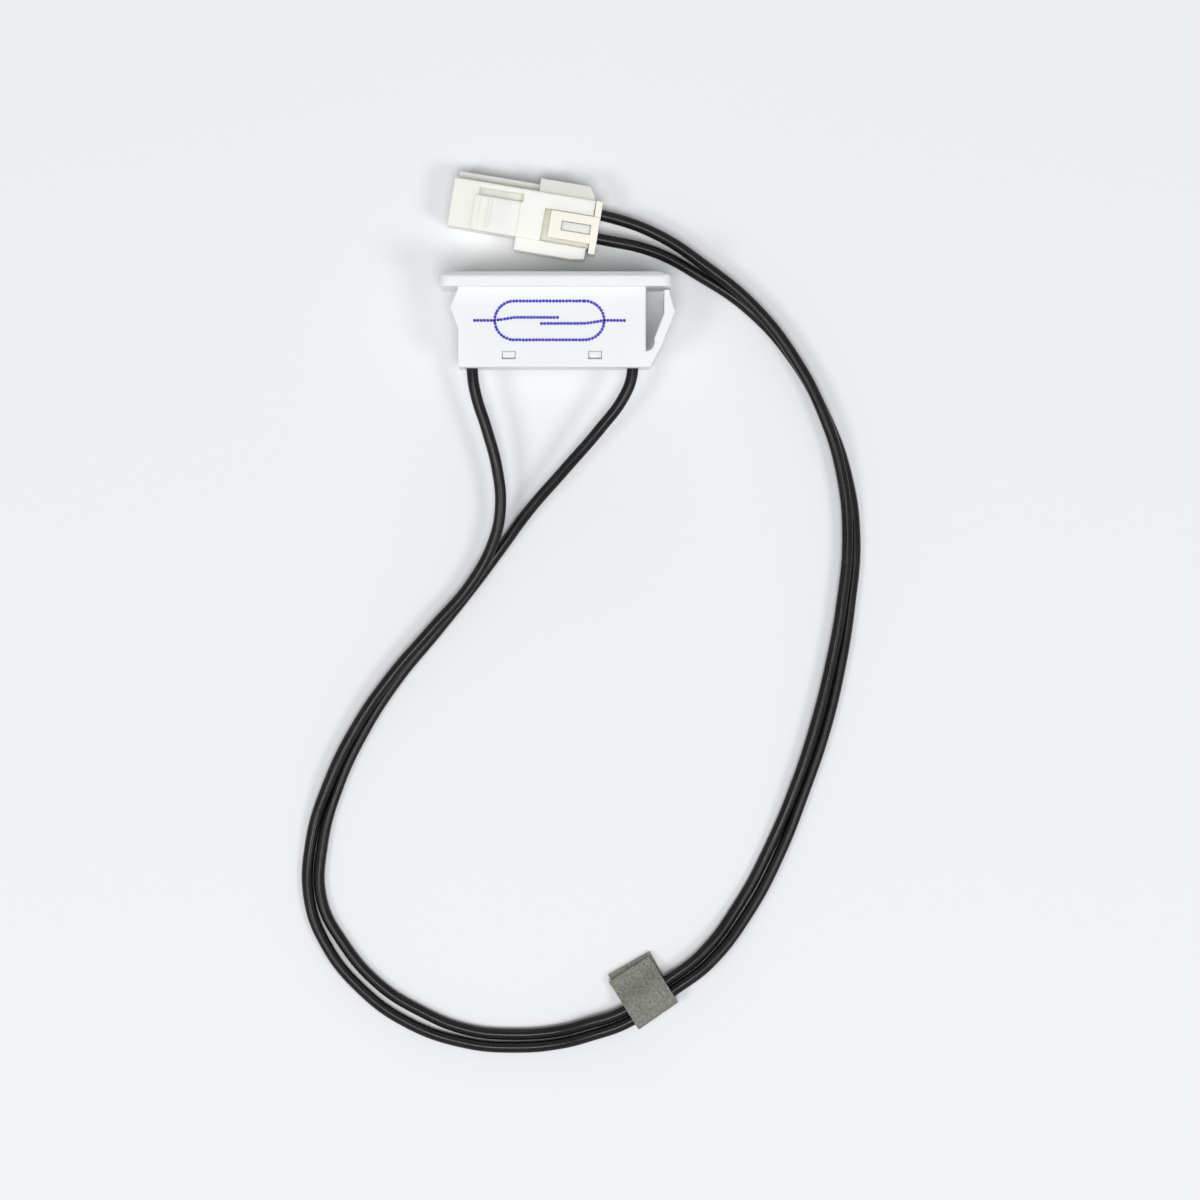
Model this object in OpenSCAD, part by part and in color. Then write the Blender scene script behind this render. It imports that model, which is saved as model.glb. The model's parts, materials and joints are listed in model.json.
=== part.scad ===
// Snap-in reed switch: a glass reed capsule in a moulded housing, with two leads, a foam wrap
// and a two-way connector. Millimetres. +Z is up, the part lies on the long edge of its flange,
// and +Y is the way the sensing face looks. The origin is the bottom centre of the switch itself,
// without its leads.

/* [Flange] */
// Length of the flange
flange_len = 32.2; // [31:0.1:38]
// Height of the flange, across its narrow side
flange_h = 13; // [12:0.1:17]
// Thickness of the flange
flange_t = 2.1; // [1.8:0.1:3]
// Straight rim at the back of the flange edge
flange_rim = 1.4; // [0.8:0.1:1.7]
// How far the front bevel runs in from the two ends
flange_end_bevel = 1.8; // [0.8:0.1:3]
// How far the front bevel runs in from the two long edges
flange_edge_bevel = 1.2; // [0.4:0.1:1.5]
// Corner radius of the flange outline
flange_corner_r = 1.4; // [0.5:0.1:2.5]
// Sideways offset of the flange from the body's centre
flange_offset = 0.5; // [0:0.1:1]

/* [Body] */
// Width of the body behind the flange
body_w = 26.1; // [25:0.1:29]
// Height of the body
body_h = 9.4; // [8.6:0.1:11]
// Depth of the body behind the flange
body_d = 11.15; // [10.8:0.05:14]
// Wall of the body
wall = 1; // [0.8:0.05:1.2]
// Wall between the cavity and the sensing face
front_wall = 1.6; // [1.3:0.1:2]
// Corner radius inside the cavity
cavity_r = 0.5; // [0.2:0.1:1]

/* [Snap features] */
// How far the fixed wedge stands out of the left side
wedge_out = 1.15; // [0.6:0.05:1.6]
// Where the wedge starts behind the flange
wedge_start = 0.2; // [0.1:0.1:0.8]
// Where the wedge is highest behind the flange
wedge_peak = 2.85; // [2:0.05:3.6]
// Where the wedge ends behind the flange
wedge_end = 5.9; // [4.6:0.1:7.4]
// Open slot between the body and the spring arm
arm_gap = 2.5; // [1.5:0.1:3]
// Thickness of the spring arm at its free end
arm_end_t = 0.75; // [0.6:0.05:1]
// How far the catch of the spring arm stands out of the right side
arm_catch_out = 4.15; // [3.8:0.05:5]
// Where the catch is behind the flange
arm_catch_back = 3.35; // [2.6:0.05:3.8]
// Depth of the slot behind the flange
arm_slot_d = 8.9; // [8.4:0.1:9.6]
// How far the root of the arm stands out of the body at the rear
arm_root_out = 0.65; // [0.3:0.05:0.9]
// Thickness of the spring arm below its catch
arm_leaf_t = 1.5; // [1.2:0.05:1.7]
// How far the knee of the arm stands out of the right side
arm_knee_out = 2.4; // [2.2:0.05:2.8]
// Where the knee is behind the flange
arm_knee_back = 7.8; // [7.4:0.05:8.2]
// Extra flare of the catch at its tip
arm_flare = 0.28; // [0.1:0.02:0.4]
// Gap between the arm's free end and the flange
arm_end_clear = 0.4; // [0.2:0.05:0.8]

/* [Rear cover] */
// Thickness of the cover plate
cover_t = 1.1; // [0.9:0.05:1.4]
// Gap between the cover and the cavity walls
cover_fit = 0.06; // [0.03:0.01:0.15]
// Width of a latch window
window_w = 1.86; // [1.4:0.02:2.4]
// Length of a latch window, front to back
window_l = 1.05; // [0.9:0.05:1.4]
// Distance of a latch window from the middle of the body
window_x = 6; // [5.6:0.1:8]
// Distance of a latch window's middle from the rear edge
window_back = 1.67; // [1.65:0.01:2.4]
// Gap between a hook and the rear edge of its window
hook_gap = 0.14; // [0.1:0.02:0.3]
// Gap between a hook and the other edges of its window
hook_fit = 0.05; // [0.03:0.01:0.12]
// Lead-in chamfer at the front of a hook
hook_lead = 0.25; // [0.1:0.05:0.5]
// How far a hook stays below the outside of the wall
hook_below = 0.25; // [0.1:0.05:0.4]
// Thickness of the tongue that carries a hook
tongue_t = 0.8; // [0.6:0.05:1]
// Side of a post that holds the capsule in its cradle
post_side = 1.2; // [0.8:0.1:1.6]

/* [Reed capsule] */
// Length of the glass
glass_len = 14; // [12:0.1:15]
// Outer diameter of the glass
glass_d = 2.2; // [1.9:0.1:2.6]
// Wall of the glass tube
glass_wall = 0.3; // [0.2:0.05:0.4]
// Length of the fused glass at each end
seal_len = 1.6; // [1.2:0.1:2]
// Gap between the glass and the ribs or posts that hold it
glass_clear = 0.06; // [0.03:0.01:0.1]
// Diameter of the reed leads
lead_d = 0.5; // [0.4:0.05:0.6]
// Bend radius of the reed leads, at the middle of the wire
lead_bend_r = 1; // [0.8:0.1:1.2]
// Width of a contact blade
blade_w = 1.2; // [0.8:0.05:1.2]
// Thickness of a contact blade
blade_t = 0.2; // [0.12:0.02:0.24]
// Open gap between the two blades
contact_gap = 0.12; // [0.1:0.02:0.2]
// Overlap of the two blade tips
contact_overlap = 1.2; // [0.8:0.1:1.6]
// Distance of a cradle rib from the middle of the capsule
cradle_x = 4.6; // [4:0.1:5.2]
// Thickness of a cradle rib
cradle_t = 0.9; // [0.6:0.1:1.2]

/* [Wiring] */
// Outer diameter of a lead wire
wire_d = 1.6; // [1.4:0.05:1.8]
// Gap round a wire where it passes a wall
wire_clear = 0.12; // [0.06:0.02:0.2]
// Diameter of the bare conductor
conductor_d = 0.8; // [0.6:0.05:1]
// Length of insulation inside the housing
insulation_in = 3; // [2.6:0.1:3.4]
// Outer diameter of a crimp sleeve
splice_d = 1.5; // [1.3:0.05:1.6]
// Length of a crimp sleeve
splice_len = 3.4; // [3:0.1:3.8]
// Gap between a crimp sleeve and what it holds
crimp_fit = 0.02; // [0.01:0.01:0.04]

/* [Connector] */
// Length of the connector without its retainer
conn_len = 20; // [18.4:0.1:22]
// Width of the connector body
conn_w = 6.8; // [6.6:0.1:7.4]
// Height of the connector body
conn_h = 6.2; // [6.2:0.1:7]
// Length of the rear block that holds the terminals
conn_block_len = 10.3; // [10:0.1:11]
// Wall of the mating hood
hood_wall = 0.8; // [0.7:0.05:0.9]
// How much the hood is lower than the rear block, at the top and at the bottom
hood_step = 0.2; // [0.1:0.05:0.3]
// Depth of the mating socket
socket_d = 8.3; // [7.6:0.1:9]
// Width of the keying rib on the side of the hood
rib_out = 1.1; // [0.6:0.1:1.4]
// Height of the keying rib
rib_h = 2.4; // [1.6:0.1:3.2]
// How far the grip ears stand out of the rear block
ear_out = 1.85; // [1.2:0.05:2.2]
// Height of the grip ears
ear_h = 5.6; // [4:0.1:6]
// Start of the upper ear behind the front of the rear block
ear_setback = 2.2; // [1.2:0.1:3]
// Corner cut off the wire end of the upper ear: along the connector
ear_cut_l = 0.8; // [0.4:0.1:1.8]
// Corner cut off the wire end of the upper ear: across it
ear_cut_w = 1.2; // [0.4:0.1:1.4]
// Slot in the top of the hood: width
hood_slot_w = 1.05; // [0.8:0.05:1.2]
// Slot in the top of the hood: depth
hood_slot_d = 0.5; // [0.3:0.05:0.6]
// Slot in the top of the hood: distance from the mouth
hood_slot_x = 3.7; // [3.2:0.1:5]
// Front ridge on the top of the hood: distance from the mouth
ridge_x = 3.2; // [2.6:0.1:3.8]
// Front ridge on the top of the hood: length
ridge_l = 0.8; // [0.5:0.05:1]
// Distance between the front ridge and the thin one behind it
ridge_step = 2.05; // [1.6:0.05:2.6]
// Distance between the two terminals
terminal_pitch = 3.3; // [3.2:0.05:3.5]
// Side of a terminal's square chamber
chamber = 2.3; // [2.2:0.05:2.4]
// Web between the socket and the chambers
web_t = 0.8; // [0.6:0.05:1]

/* [Connector retainer] */
// Thickness of the retainer's end plate
plate_t = 0.95; // [0.8:0.05:1.2]
// Width of the end plate
plate_w = 7.5; // [7:0.1:8]
// Sideways offset of the end plate from the connector's axis
plate_offset = -0.35; // [-0.6:0.05:0]
// How much the end plate is lower than the rear block, at the top and at the bottom
plate_step = 0.3; // [0.1:0.05:0.5]
// Width of a retainer arm
clip_w = 3.85; // [3.4:0.05:4]
// Length of a retainer arm ahead of the end plate
clip_len = 6; // [5.4:0.1:6.6]
// Thickness of a retainer arm
clip_t = 0.8; // [0.6:0.05:0.9]
// Sideways offset of the arms from the connector's axis
clip_offset = -0.8; // [-0.9:0.05:0]
// Gap between the retainer and the connector body
clip_fit = 0.06; // [0.05:0.01:0.15]
// Length of the window in a retainer arm
clip_window_l = 4.1; // [3.6:0.1:4.4]
// Width of the window in a retainer arm
clip_window_w = 1.35; // [1:0.05:1.6]
// Room in front of a retainer arm
clip_room = 0.9; // [0.4:0.1:1.2]
// Corner radius of a retainer arm
clip_r = 0.3; // [0.1:0.05:0.5]

/* [Terminals] */
// Diameter of a terminal pin
pin_d = 1; // [0.8:0.05:1.2]
// Length of a pin inside the socket
pin_len = 3.8; // [3:0.1:4]
// Side of a terminal's square body
terminal_side = 1.9; // [1.6:0.05:2]
// Length of a terminal's square body
terminal_len = 4.6; // [4:0.1:5]
// Length of a terminal's crimp barrel
barrel_len = 2.4; // [2:0.1:3]

/* [Foam wrap] */
// Length of the foam along the wires
foam_len = 6.7; // [5:0.1:9]
// Width of the foam across the wires
foam_w = 8.4; // [7.6:0.1:10]
// Thickness of one layer of foam
foam_t = 0.8; // [0.6:0.1:1.4]
// How far the lower layer reaches past the upper one
foam_step = 0.6; // [0.2:0.1:1.2]

/* [Hidden] */
$fn = 48;
// Overlap that lets a cut pass a face
past = 0.5;

// The switch is drawn about the middle of its body, with y = 0 at the back of the flange
flange_x0 = flange_offset - flange_len / 2;
flange_x1 = flange_offset + flange_len / 2;
switch_x1 = max(flange_x1, body_w / 2 + arm_catch_out);
switch_x = -(flange_x0 + switch_x1) / 2;
switch_y = (body_d - flange_t) / 2;
switch_z = flange_h / 2;
switch_shift = [switch_x, switch_y, switch_z];
cavity_w = body_w - 2 * wall;
cavity_h = body_h - 2 * wall;
cavity_y = flange_t - front_wall;
window_y = -body_d + window_back;
cover_y = -body_d + cover_t;
// Radius at the closed end of the arm's slot
slot_r = 1.15;
// How far a hook's tongue runs on past its window
tongue_past = 0.4;

// Capsule and its wiring
reed_y = cavity_y - glass_d / 2 - 3 * glass_clear;
cradle_y = reed_y - glass_d / 4;
seal_x = glass_len / 2 - seal_len;
blade_y = (contact_gap + blade_t) / 2;
// Seam between a lead and its blade, which is one piece of wire on the real part
blade_seam = 0.02;
wire_x = body_w / 2 - wall - wire_clear - wire_d / 2;
// Straight lead between its bend and the crimp sleeve
lead_show = 0.5;
splice_y = reed_y - lead_bend_r - lead_show - splice_len / 2;
// Gap between the two wire ends inside a crimp sleeve
splice_stop = 0.1;
insulation_y = -body_d + insulation_in;

// Connector: its own x runs from the mating end to the wires, and it is turned as it lies
conn_place = [-4.6, 15.1, 0];
conn_turn = -9.5;
conn_x1 = 9.5;
conn_x0 = conn_x1 - conn_len;
block_x0 = conn_x1 - conn_block_len;
socket_x1 = conn_x0 + socket_d;
conn_mid = conn_h / 2;
clip_depth = clip_t + clip_fit;
clip_x0 = conn_x1 + clip_fit - clip_len;
retainer_x1 = conn_x1 + clip_fit + plate_t;
web_x1 = socket_x1 + web_t;
terminal_x0 = web_x1 + clip_fit;
// Middle of the window in a retainer arm, and of the bump that shows in it
clip_window_x = conn_x1 - 2 * clip_fit - clip_window_l / 2;
barrel_x1 = terminal_x0 + terminal_len + barrel_len;

// Foam wrap: its own x runs along the wires, and its y points into the loop
foam_place = [11.8, -94.2, 0];
foam_turn = 34.9;
foam_wire_y = -1.5;
foam_wire_z = foam_t + wire_clear + wire_d / 2;
foam_wire_gap = wire_d + wire_clear / 2;
// Straight wire just outside the foam
foam_straight = 0.6;
// Straight wire just outside the housing and the connector
exit_straight = 1;

// Places of points that are named in a frame of their own
function turned(p, a) = [p.x * cos(a) - p.y * sin(a), p.x * sin(a) + p.y * cos(a), p.z];
function in_switch(p) = p + switch_shift;
function in_connector(p) = turned(p, conn_turn) + conn_place;
function in_foam(p) = turned(p, foam_turn) + foam_place;

// Points that both wires pass in the foam, at the housing and at the connector
function through_foam(y) = [
    for (s = [-1, 1]) in_foam([s * (foam_len / 2 + foam_straight), foam_wire_y + y, foam_wire_z])
];
function out_of_housing(side) = [
    for (y = [insulation_y, -body_d - exit_straight]) in_switch([side * wire_x, y, 0])
];
function into_connector(side) = [
    for (x = [retainer_x1 + exit_straight, barrel_x1]) in_connector([x, side * terminal_pitch / 2, conn_mid])
];

// Routes of the wires, as they lie: the left wire on the outside of the loop
left_route = concat(
    out_of_housing(-1),
    [
        [-11.4, -10.6, 6.3], [-10, -15, 5.9], [-8.5, -20.8, 5], [-8.1, -26, 4], [-9, -30.5, 3.2],
        [-12, -36.3, 2.5], [-17.7, -43, 2.4], [-23.4, -49.6, 2.2], [-28.4, -56.8, 1.9],
        [-32.3, -64.7, 1.7], [-34.9, -73, 0.8], [-35.2, -81.5, 0.8], [-32.6, -87.8, 0.8],
        [-28.2, -93.4, 0.8], [-21.5, -98.4, 0.8], [-13, -101.4, 0.8], [-6, -102, 0.8],
        [0, -101.5, 1], [4.6, -100.3, 1.5]
    ],
    through_foam(-foam_wire_gap / 2),
    [
        [21.3, -90.1, 1.6], [27.1, -82.7, 1], [31.4, -74.5, 0.8], [34.8, -66, 0.8], [37.6, -57.3, 0.8],
        [39.7, -48.5, 0.8], [41.1, -39.5, 0.8], [41.8, -30.4, 0.8], [40.6, -21.4, 0.8],
        [37.5, -12.8, 0.8], [33, -4.9, 0.8], [27, 1.8, 1], [19.8, 6.7, 1.7], [13.6, 9.9, 2.6]
    ],
    into_connector(-1)
);
right_route = concat(
    out_of_housing(1),
    [
        [9.2, -10.6, 6.3], [5.9, -15, 5.6], [1, -20.6, 4.2], [-4.2, -26.5, 2.4], [-7.9, -31.5, 1.2],
        [-11.7, -36.6, 0.8], [-17.2, -43.5, 0.8], [-22.7, -50.2, 0.8], [-27.4, -57.5, 0.8],
        [-31, -65.2, 0.8], [-33.2, -73.3, 0.8], [-33.2, -81.2, 0.8], [-30.4, -87.2, 0.8],
        [-25.2, -93.2, 0.8], [-19.6, -96.8, 0.8], [-13, -99.5, 0.8], [-6, -100.2, 0.8],
        [0, -99.7, 1], [4.2, -98.6, 1.5]
    ],
    through_foam(foam_wire_gap / 2),
    [
        [20.1, -88.9, 1.6], [25.5, -81.6, 1], [29.7, -73.7, 0.8], [33.2, -65.2, 1], [36.1, -56.9, 1.7],
        [38.3, -48.2, 1.8], [39.9, -39.4, 2], [40.7, -30.4, 2.1], [39.9, -21.5, 2.3],
        [37.3, -12.9, 2.5], [33.1, -4.8, 2.5], [27.5, 2.3, 2.6], [20.6, 8, 2.8], [14, 12.3, 3]
    ],
    into_connector(1)
);

// A tube of eight sides swept along a route that never stands upright
tube_sides = 8;
function unit(v) = v / norm(v);
function heading(route, i) = unit(route[min(i + 1, len(route) - 1)] - route[max(i - 1, 0)]);
function ring(centre, along, r) =
    let (across = unit(cross([0, 0, 1], along)), over = cross(along, across), step = 360 / tube_sides)
    [for (k = [0:tube_sides - 1]) centre + r * (cos(step * k) * across + sin(step * k) * over)];
function next_side(k) = (k + 1) % tube_sides;

module tube(route, d) {
    rings = len(route);
    points = [for (i = [0:rings - 1]) each ring(route[i], heading(route, i), d / 2)];
    walls = [
        for (i = [0:rings - 2], k = [0:tube_sides - 1])
        let (a = i * tube_sides, b = a + tube_sides)
        [a + k, b + k, b + next_side(k), a + next_side(k)]
    ];
    start_cap = [for (k = [0:tube_sides - 1]) k];
    end_cap = [for (k = [0:tube_sides - 1]) rings * tube_sides - 1 - k];
    polyhedron(points, concat([start_cap], walls, [end_cap]), convexity = 10);
}

// A rectangle about the origin with round corners
module rounded_rect(size, r) {
    square([size.x - 2 * r, size.y], center = true);
    square([size.x, size.y - 2 * r], center = true);
    for (sx = [-1, 1], sy = [-1, 1])
        translate([sx * (size.x / 2 - r), sy * (size.y / 2 - r)]) circle(r);
}

// An outline in x and z, drawn out from y0 to y1
module along_y(y0, y1) {
    translate([0, y1, 0]) rotate([90, 0, 0]) linear_extrude(y1 - y0) children();
}

// An outline in y and z, drawn out from x0 to x1
module along_x(x0, x1) {
    translate([x0, 0, 0]) rotate([90, 0, 90]) linear_extrude(x1 - x0) children();
}

// A box from one corner to the other
module block(low, high) {
    translate(low) cube(high - low);
}

module in_switch_frame() {
    translate(switch_shift) children();
}

module in_connector_frame() {
    translate(conn_place) rotate([0, 0, conn_turn]) children();
}

module in_foam_frame() {
    translate(foam_place) rotate([0, 0, foam_turn]) children();
}

// Flange: a round-cornered plate whose front is bevelled on all four sides
module flange() {
    intersection() {
        translate([flange_offset, 0, 0]) along_y(0, flange_t)
            rounded_rect([flange_len, flange_h], flange_corner_r);
        linear_extrude(flange_h, center = true) polygon([
            [flange_x0, 0], [flange_x1, 0], [flange_x1, flange_rim],
            [flange_x1 - flange_end_bevel, flange_t], [flange_x0 + flange_end_bevel, flange_t],
            [flange_x0, flange_rim]
        ]);
        along_x(flange_x0, flange_x1) polygon([
            [0, -flange_h / 2], [flange_rim, -flange_h / 2],
            [flange_t, flange_edge_bevel - flange_h / 2], [flange_t, flange_h / 2 - flange_edge_bevel],
            [flange_rim, flange_h / 2], [0, flange_h / 2]
        ]);
    }
}

// How far behind the flange the inside of the arm stands this far out of the body
function leaf_back(out) =
    let (slope = (arm_knee_back - arm_catch_back) / (arm_catch_out - arm_knee_out))
    arm_catch_back + slope * (arm_catch_out - arm_leaf_t - out);

// Body in plan: box, fixed wedge at the left, spring arm at the right and the slot that frees the arm
module body_plan() {
    side = body_w / 2;
    slot_end = arm_slot_d - slot_r;
    slot_round = [for (a = [0:15:90]) [side + slot_r * cos(a), -slot_end - slot_r * sin(a)]];
    difference() {
        union() {
            translate([-side, -body_d]) square([body_w, body_d + flange_rim]);
            polygon([[-side, -wedge_start], [-side - wedge_out, -wedge_peak], [-side, -wedge_end]]);
            polygon([
                [side, -arm_end_clear], [side + arm_gap + arm_end_t, -arm_end_clear],
                [side + arm_catch_out - arm_flare, 2 * arm_flare - arm_catch_back],
                [side + arm_catch_out, -arm_catch_back], [side + arm_knee_out, -arm_knee_back],
                [side + arm_root_out, -body_d], [side, -body_d]
            ]);
        }
        polygon(concat(
            [[side, past], [side + arm_gap, past], [side + arm_gap, -leaf_back(arm_gap)]],
            [[side + slot_r, -min(leaf_back(slot_r), slot_end)]], slot_round
        ));
    }
}

// Ribs that cradle the glass, open to the rear
module cradle() {
    for (sx = [-1, 1])
        along_x(sx * cradle_x - cradle_t / 2, sx * cradle_x + cradle_t / 2) difference() {
            translate([cradle_y, -(cavity_h + past) / 2])
                square([cavity_y - cradle_y + past, cavity_h + past]);
            translate([reed_y, 0]) circle(glass_d / 2 + glass_clear);
            translate([reed_y - glass_d / 2, 0]) square([glass_d, glass_d + 2 * glass_clear], center = true);
        }
}

module switch_housing() {
    color("white") in_switch_frame() {
        difference() {
            union() {
                linear_extrude(body_h, center = true) body_plan();
                flange();
            }
            along_y(-body_d - past, cavity_y) rounded_rect([cavity_w, cavity_h], cavity_r);
            for (sx = [-1, 1])
                translate([sx * window_x, window_y, 0])
                    cube([window_w, window_l, body_h + past], center = true);
        }
        cradle();
    }
}

// Hook of the rear cover, drawn for the upper window: its steep side holds the rear edge of the window
module cover_hook() {
    top = body_h / 2 - hook_below;
    under = cavity_h / 2 - cover_fit;
    rear = window_y - window_l / 2 + hook_gap;
    front = window_y + window_l / 2 - hook_fit;
    along_x(-window_w / 2 + hook_fit, window_w / 2 - hook_fit) polygon([
        [cover_y - past, under - tongue_t], [front + tongue_past, under - tongue_t],
        [front + tongue_past, under], [front, under], [front, top - hook_lead], [front - hook_lead, top],
        [rear, top], [rear, under], [cover_y - past, under]
    ]);
}

module rear_cover() {
    post_top = reed_y - glass_d / 2 - glass_clear;
    color("whitesmoke") in_switch_frame() difference() {
        union() {
            along_y(-body_d, cover_y)
                rounded_rect([cavity_w - 2 * cover_fit, cavity_h - 2 * cover_fit], cavity_r);
            for (sx = [-1, 1]) {
                translate([sx * window_x, 0, 0]) cover_hook();
                translate([sx * window_x, 0, 0]) mirror([0, 0, 1]) cover_hook();
                block(
                    [sx * cradle_x - post_side / 2, cover_y - past, -post_side / 2],
                    [sx * cradle_x + post_side / 2, post_top, post_side / 2]
                );
            }
        }
        for (sx = [-1, 1]) {
            translate([sx * wire_x, 0, 0]) along_y(-body_d - past, cover_y + past)
                circle(wire_d / 2 + wire_clear);
            translate([sx * (wire_x + wire_d), (cover_y - body_d) / 2, 0])
                cube([2 * wire_d, cover_t + past, wire_d + 2 * wire_clear], center = true);
        }
    }
}

// Everything in the capsule turns about its long axis
module along_capsule(x0, x1) {
    translate([x0, reed_y, 0]) rotate([0, 90, 0]) linear_extrude(x1 - x0) children();
}

module glass_envelope() {
    end_r = glass_d / 2 - lead_d / 2 - glass_wall;
    bore_r = glass_d / 2 - glass_wall;
    color([0.75, 0.85, 0.82, 0.5]) in_switch_frame() translate([0, reed_y, 0]) rotate([0, 90, 0])
        rotate_extrude() difference() {
            union() {
                translate([0, -glass_len / 2]) square([glass_d / 2 - end_r, glass_len]);
                translate([0, end_r - glass_len / 2]) square([glass_d / 2, glass_len - 2 * end_r]);
                for (s = [-1, 1]) translate([glass_d / 2 - end_r, s * (glass_len / 2 - end_r)]) circle(end_r);
            }
            translate([0, -seal_x]) square([bore_r, 2 * seal_x]);
            translate([0, -glass_len]) square([lead_d / 2 + crimp_fit, 2 * glass_len]);
        }
}

// Lead of one side: out of the glass, round a bend and back to the crimp sleeve
module lead() {
    bend_x = wire_x - lead_bend_r;
    lead_end = splice_y + splice_stop / 2;
    color("silver") in_switch_frame() {
        along_capsule(seal_x, bend_x) circle(lead_d / 2);
        translate([bend_x, reed_y - lead_bend_r, 0]) rotate_extrude(angle = 90)
            translate([lead_bend_r, 0]) circle(lead_d / 2);
        translate([wire_x, 0, 0]) along_y(lead_end, reed_y - lead_bend_r) circle(lead_d / 2);
    }
}

module left_lead() {
    in_switch_frame() mirror([1, 0, 0]) translate(-switch_shift) lead();
}

module right_lead() {
    lead();
}

// Contact blade of one side, from its seal past the middle of the capsule
module reed(side) {
    root = seal_x - blade_seam;
    tip = contact_overlap / 2;
    color("goldenrod") in_switch_frame() translate([side * (root - tip) / 2, reed_y - side * blade_y, 0])
        cube([root + tip, blade_t, blade_w], center = true);
}

module left_reed() {
    reed(-1);
}

module right_reed() {
    reed(1);
}

// Crimp sleeve: one bore for the reed lead, a wider one for the wire
module splice(side) {
    color("lightgray") in_switch_frame() translate([side * wire_x, 0, 0]) difference() {
        along_y(splice_y - splice_len / 2, splice_y + splice_len / 2) circle(splice_d / 2);
        along_y(splice_y, splice_y + splice_len) circle(lead_d / 2 + crimp_fit);
        along_y(splice_y - splice_len, splice_y) circle(conductor_d / 2 + crimp_fit);
    }
}

module left_splice() {
    splice(-1);
}

module right_splice() {
    splice(1);
}

// Bare conductor between the insulation and the middle of the sleeve
module conductor(side) {
    color("peru") in_switch_frame() translate([side * wire_x, 0, 0])
        along_y(insulation_y, splice_y - splice_stop / 2) circle(conductor_d / 2);
}

module left_conductor() {
    conductor(-1);
}

module right_conductor() {
    conductor(1);
}

module left_wire() {
    color("#1c1c1e") tube(left_route, wire_d);
}

module right_wire() {
    color("#1c1c1e") tube(right_route, wire_d);
}

// Foam strip: folded round the wires at the outside, its two layers stuck together at the inside
module foam_wrap() {
    fold_r = foam_wire_z;
    fold_y = foam_wire_y - foam_wire_gap / 2;
    inner_y = fold_y - fold_r + foam_w;
    fold = [for (a = [90:15:270]) [fold_y + fold_r * cos(a), fold_r + fold_r * sin(a)]];
    flaps = [
        [inner_y, 0], [inner_y, foam_t], [inner_y - foam_step, foam_t], [inner_y - foam_step, 2 * foam_t],
        [foam_wire_y + foam_wire_gap + fold_r, 2 * foam_t], [fold_y + foam_wire_gap, 2 * fold_r]
    ];
    color("gray") in_foam_frame() along_x(-foam_len / 2, foam_len / 2) difference() {
        polygon(concat(fold, flaps));
        for (s = [-1, 1])
            translate([foam_wire_y + s * foam_wire_gap / 2, fold_r]) circle(wire_d / 2 + wire_clear);
        translate([foam_wire_y, fold_r]) square([foam_wire_gap, wire_d + 2 * wire_clear], center = true);
    }
}

// Grip ear of the connector in plan, from x0 to the wire end, where it falls by drop over a run
module ear_plan(x0, run, drop) {
    x1 = conn_x1 - plate_step;
    polygon([[x0, -past], [x0, ear_out], [x1 - run, ear_out], [x1, ear_out - drop], [x1, -past]]);
}

// Recess in the top of the rear block for an arm of the retainer
module clip_recess() {
    block(
        [clip_x0 - clip_room, -conn_w / 2, conn_h - clip_depth],
        [conn_x1 + past, clip_offset + clip_w / 2 + clip_fit, conn_h + past]
    );
}

// Window in an arm of the retainer, or the bump in it that locks the arm when it is shrunk
module clip_window_plan(shrink) {
    translate([clip_window_x, clip_offset])
        square([clip_window_l - 2 * shrink, clip_window_w - 2 * shrink], center = true);
}

module clip_bump() {
    translate([0, 0, conn_h - clip_depth - past]) linear_extrude(past + clip_depth - 2 * clip_fit)
        clip_window_plan(clip_fit);
}

// The upper and lower faces of the connector are alike
module both_faces() {
    children();
    translate([0, 0, conn_h]) mirror([0, 0, 1]) children();
}

// Outside of the connector body
module connector_shell() {
    difference() {
        union() {
            block([block_x0, -conn_w / 2, 0], [conn_x1, conn_w / 2, conn_h]);
            translate([0, 0, conn_mid - ear_h / 2]) linear_extrude(ear_h) {
                translate([0, conn_w / 2]) ear_plan(block_x0 + ear_setback, ear_cut_l, ear_cut_w);
                mirror([0, 1]) translate([0, conn_w / 2]) ear_plan(block_x0, ear_out, plate_step);
            }
        }
        both_faces() clip_recess();
    }
    both_faces() clip_bump();
    block([conn_x0, -conn_w / 2, hood_step], [block_x0 + past, conn_w / 2, conn_h - hood_step]);
    block(
        [conn_x0 + past, conn_w / 2 - past, conn_mid - rib_h / 2],
        [block_x0 + ear_setback + past, conn_w / 2 + rib_out, conn_mid + rib_h / 2]
    );
    for (ridge = [[ridge_x, ridge_l], [ridge_x + ridge_step, ridge_l / 2]])
        block(
            [conn_x0 + ridge.x, hood_step - conn_w / 2, conn_h - hood_step - past],
            [conn_x0 + ridge.x + ridge.y, conn_w / 2 - hood_wall - hood_slot_w, conn_h]
        );
}

module connector_housing() {
    color("ivory") in_connector_frame() difference() {
        connector_shell();
        block(
            [conn_x0 - past, hood_wall - conn_w / 2, hood_step + hood_wall],
            [socket_x1, conn_w / 2 - hood_wall, conn_h - hood_step - hood_wall]
        );
        block(
            [conn_x0 + hood_slot_x, conn_w / 2 - hood_wall - hood_slot_w, conn_h - hood_step - hood_slot_d],
            [block_x0 + hood_step, conn_w / 2 - hood_wall, conn_h + past]
        );
        for (sy = [-1, 1]) translate([0, sy * terminal_pitch / 2, conn_mid]) {
            along_x(web_x1, conn_x1 + past) square(chamber, center = true);
            along_x(socket_x1 - past, web_x1 + past) circle(pin_d / 2 + clip_fit);
        }
    }
}

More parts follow.
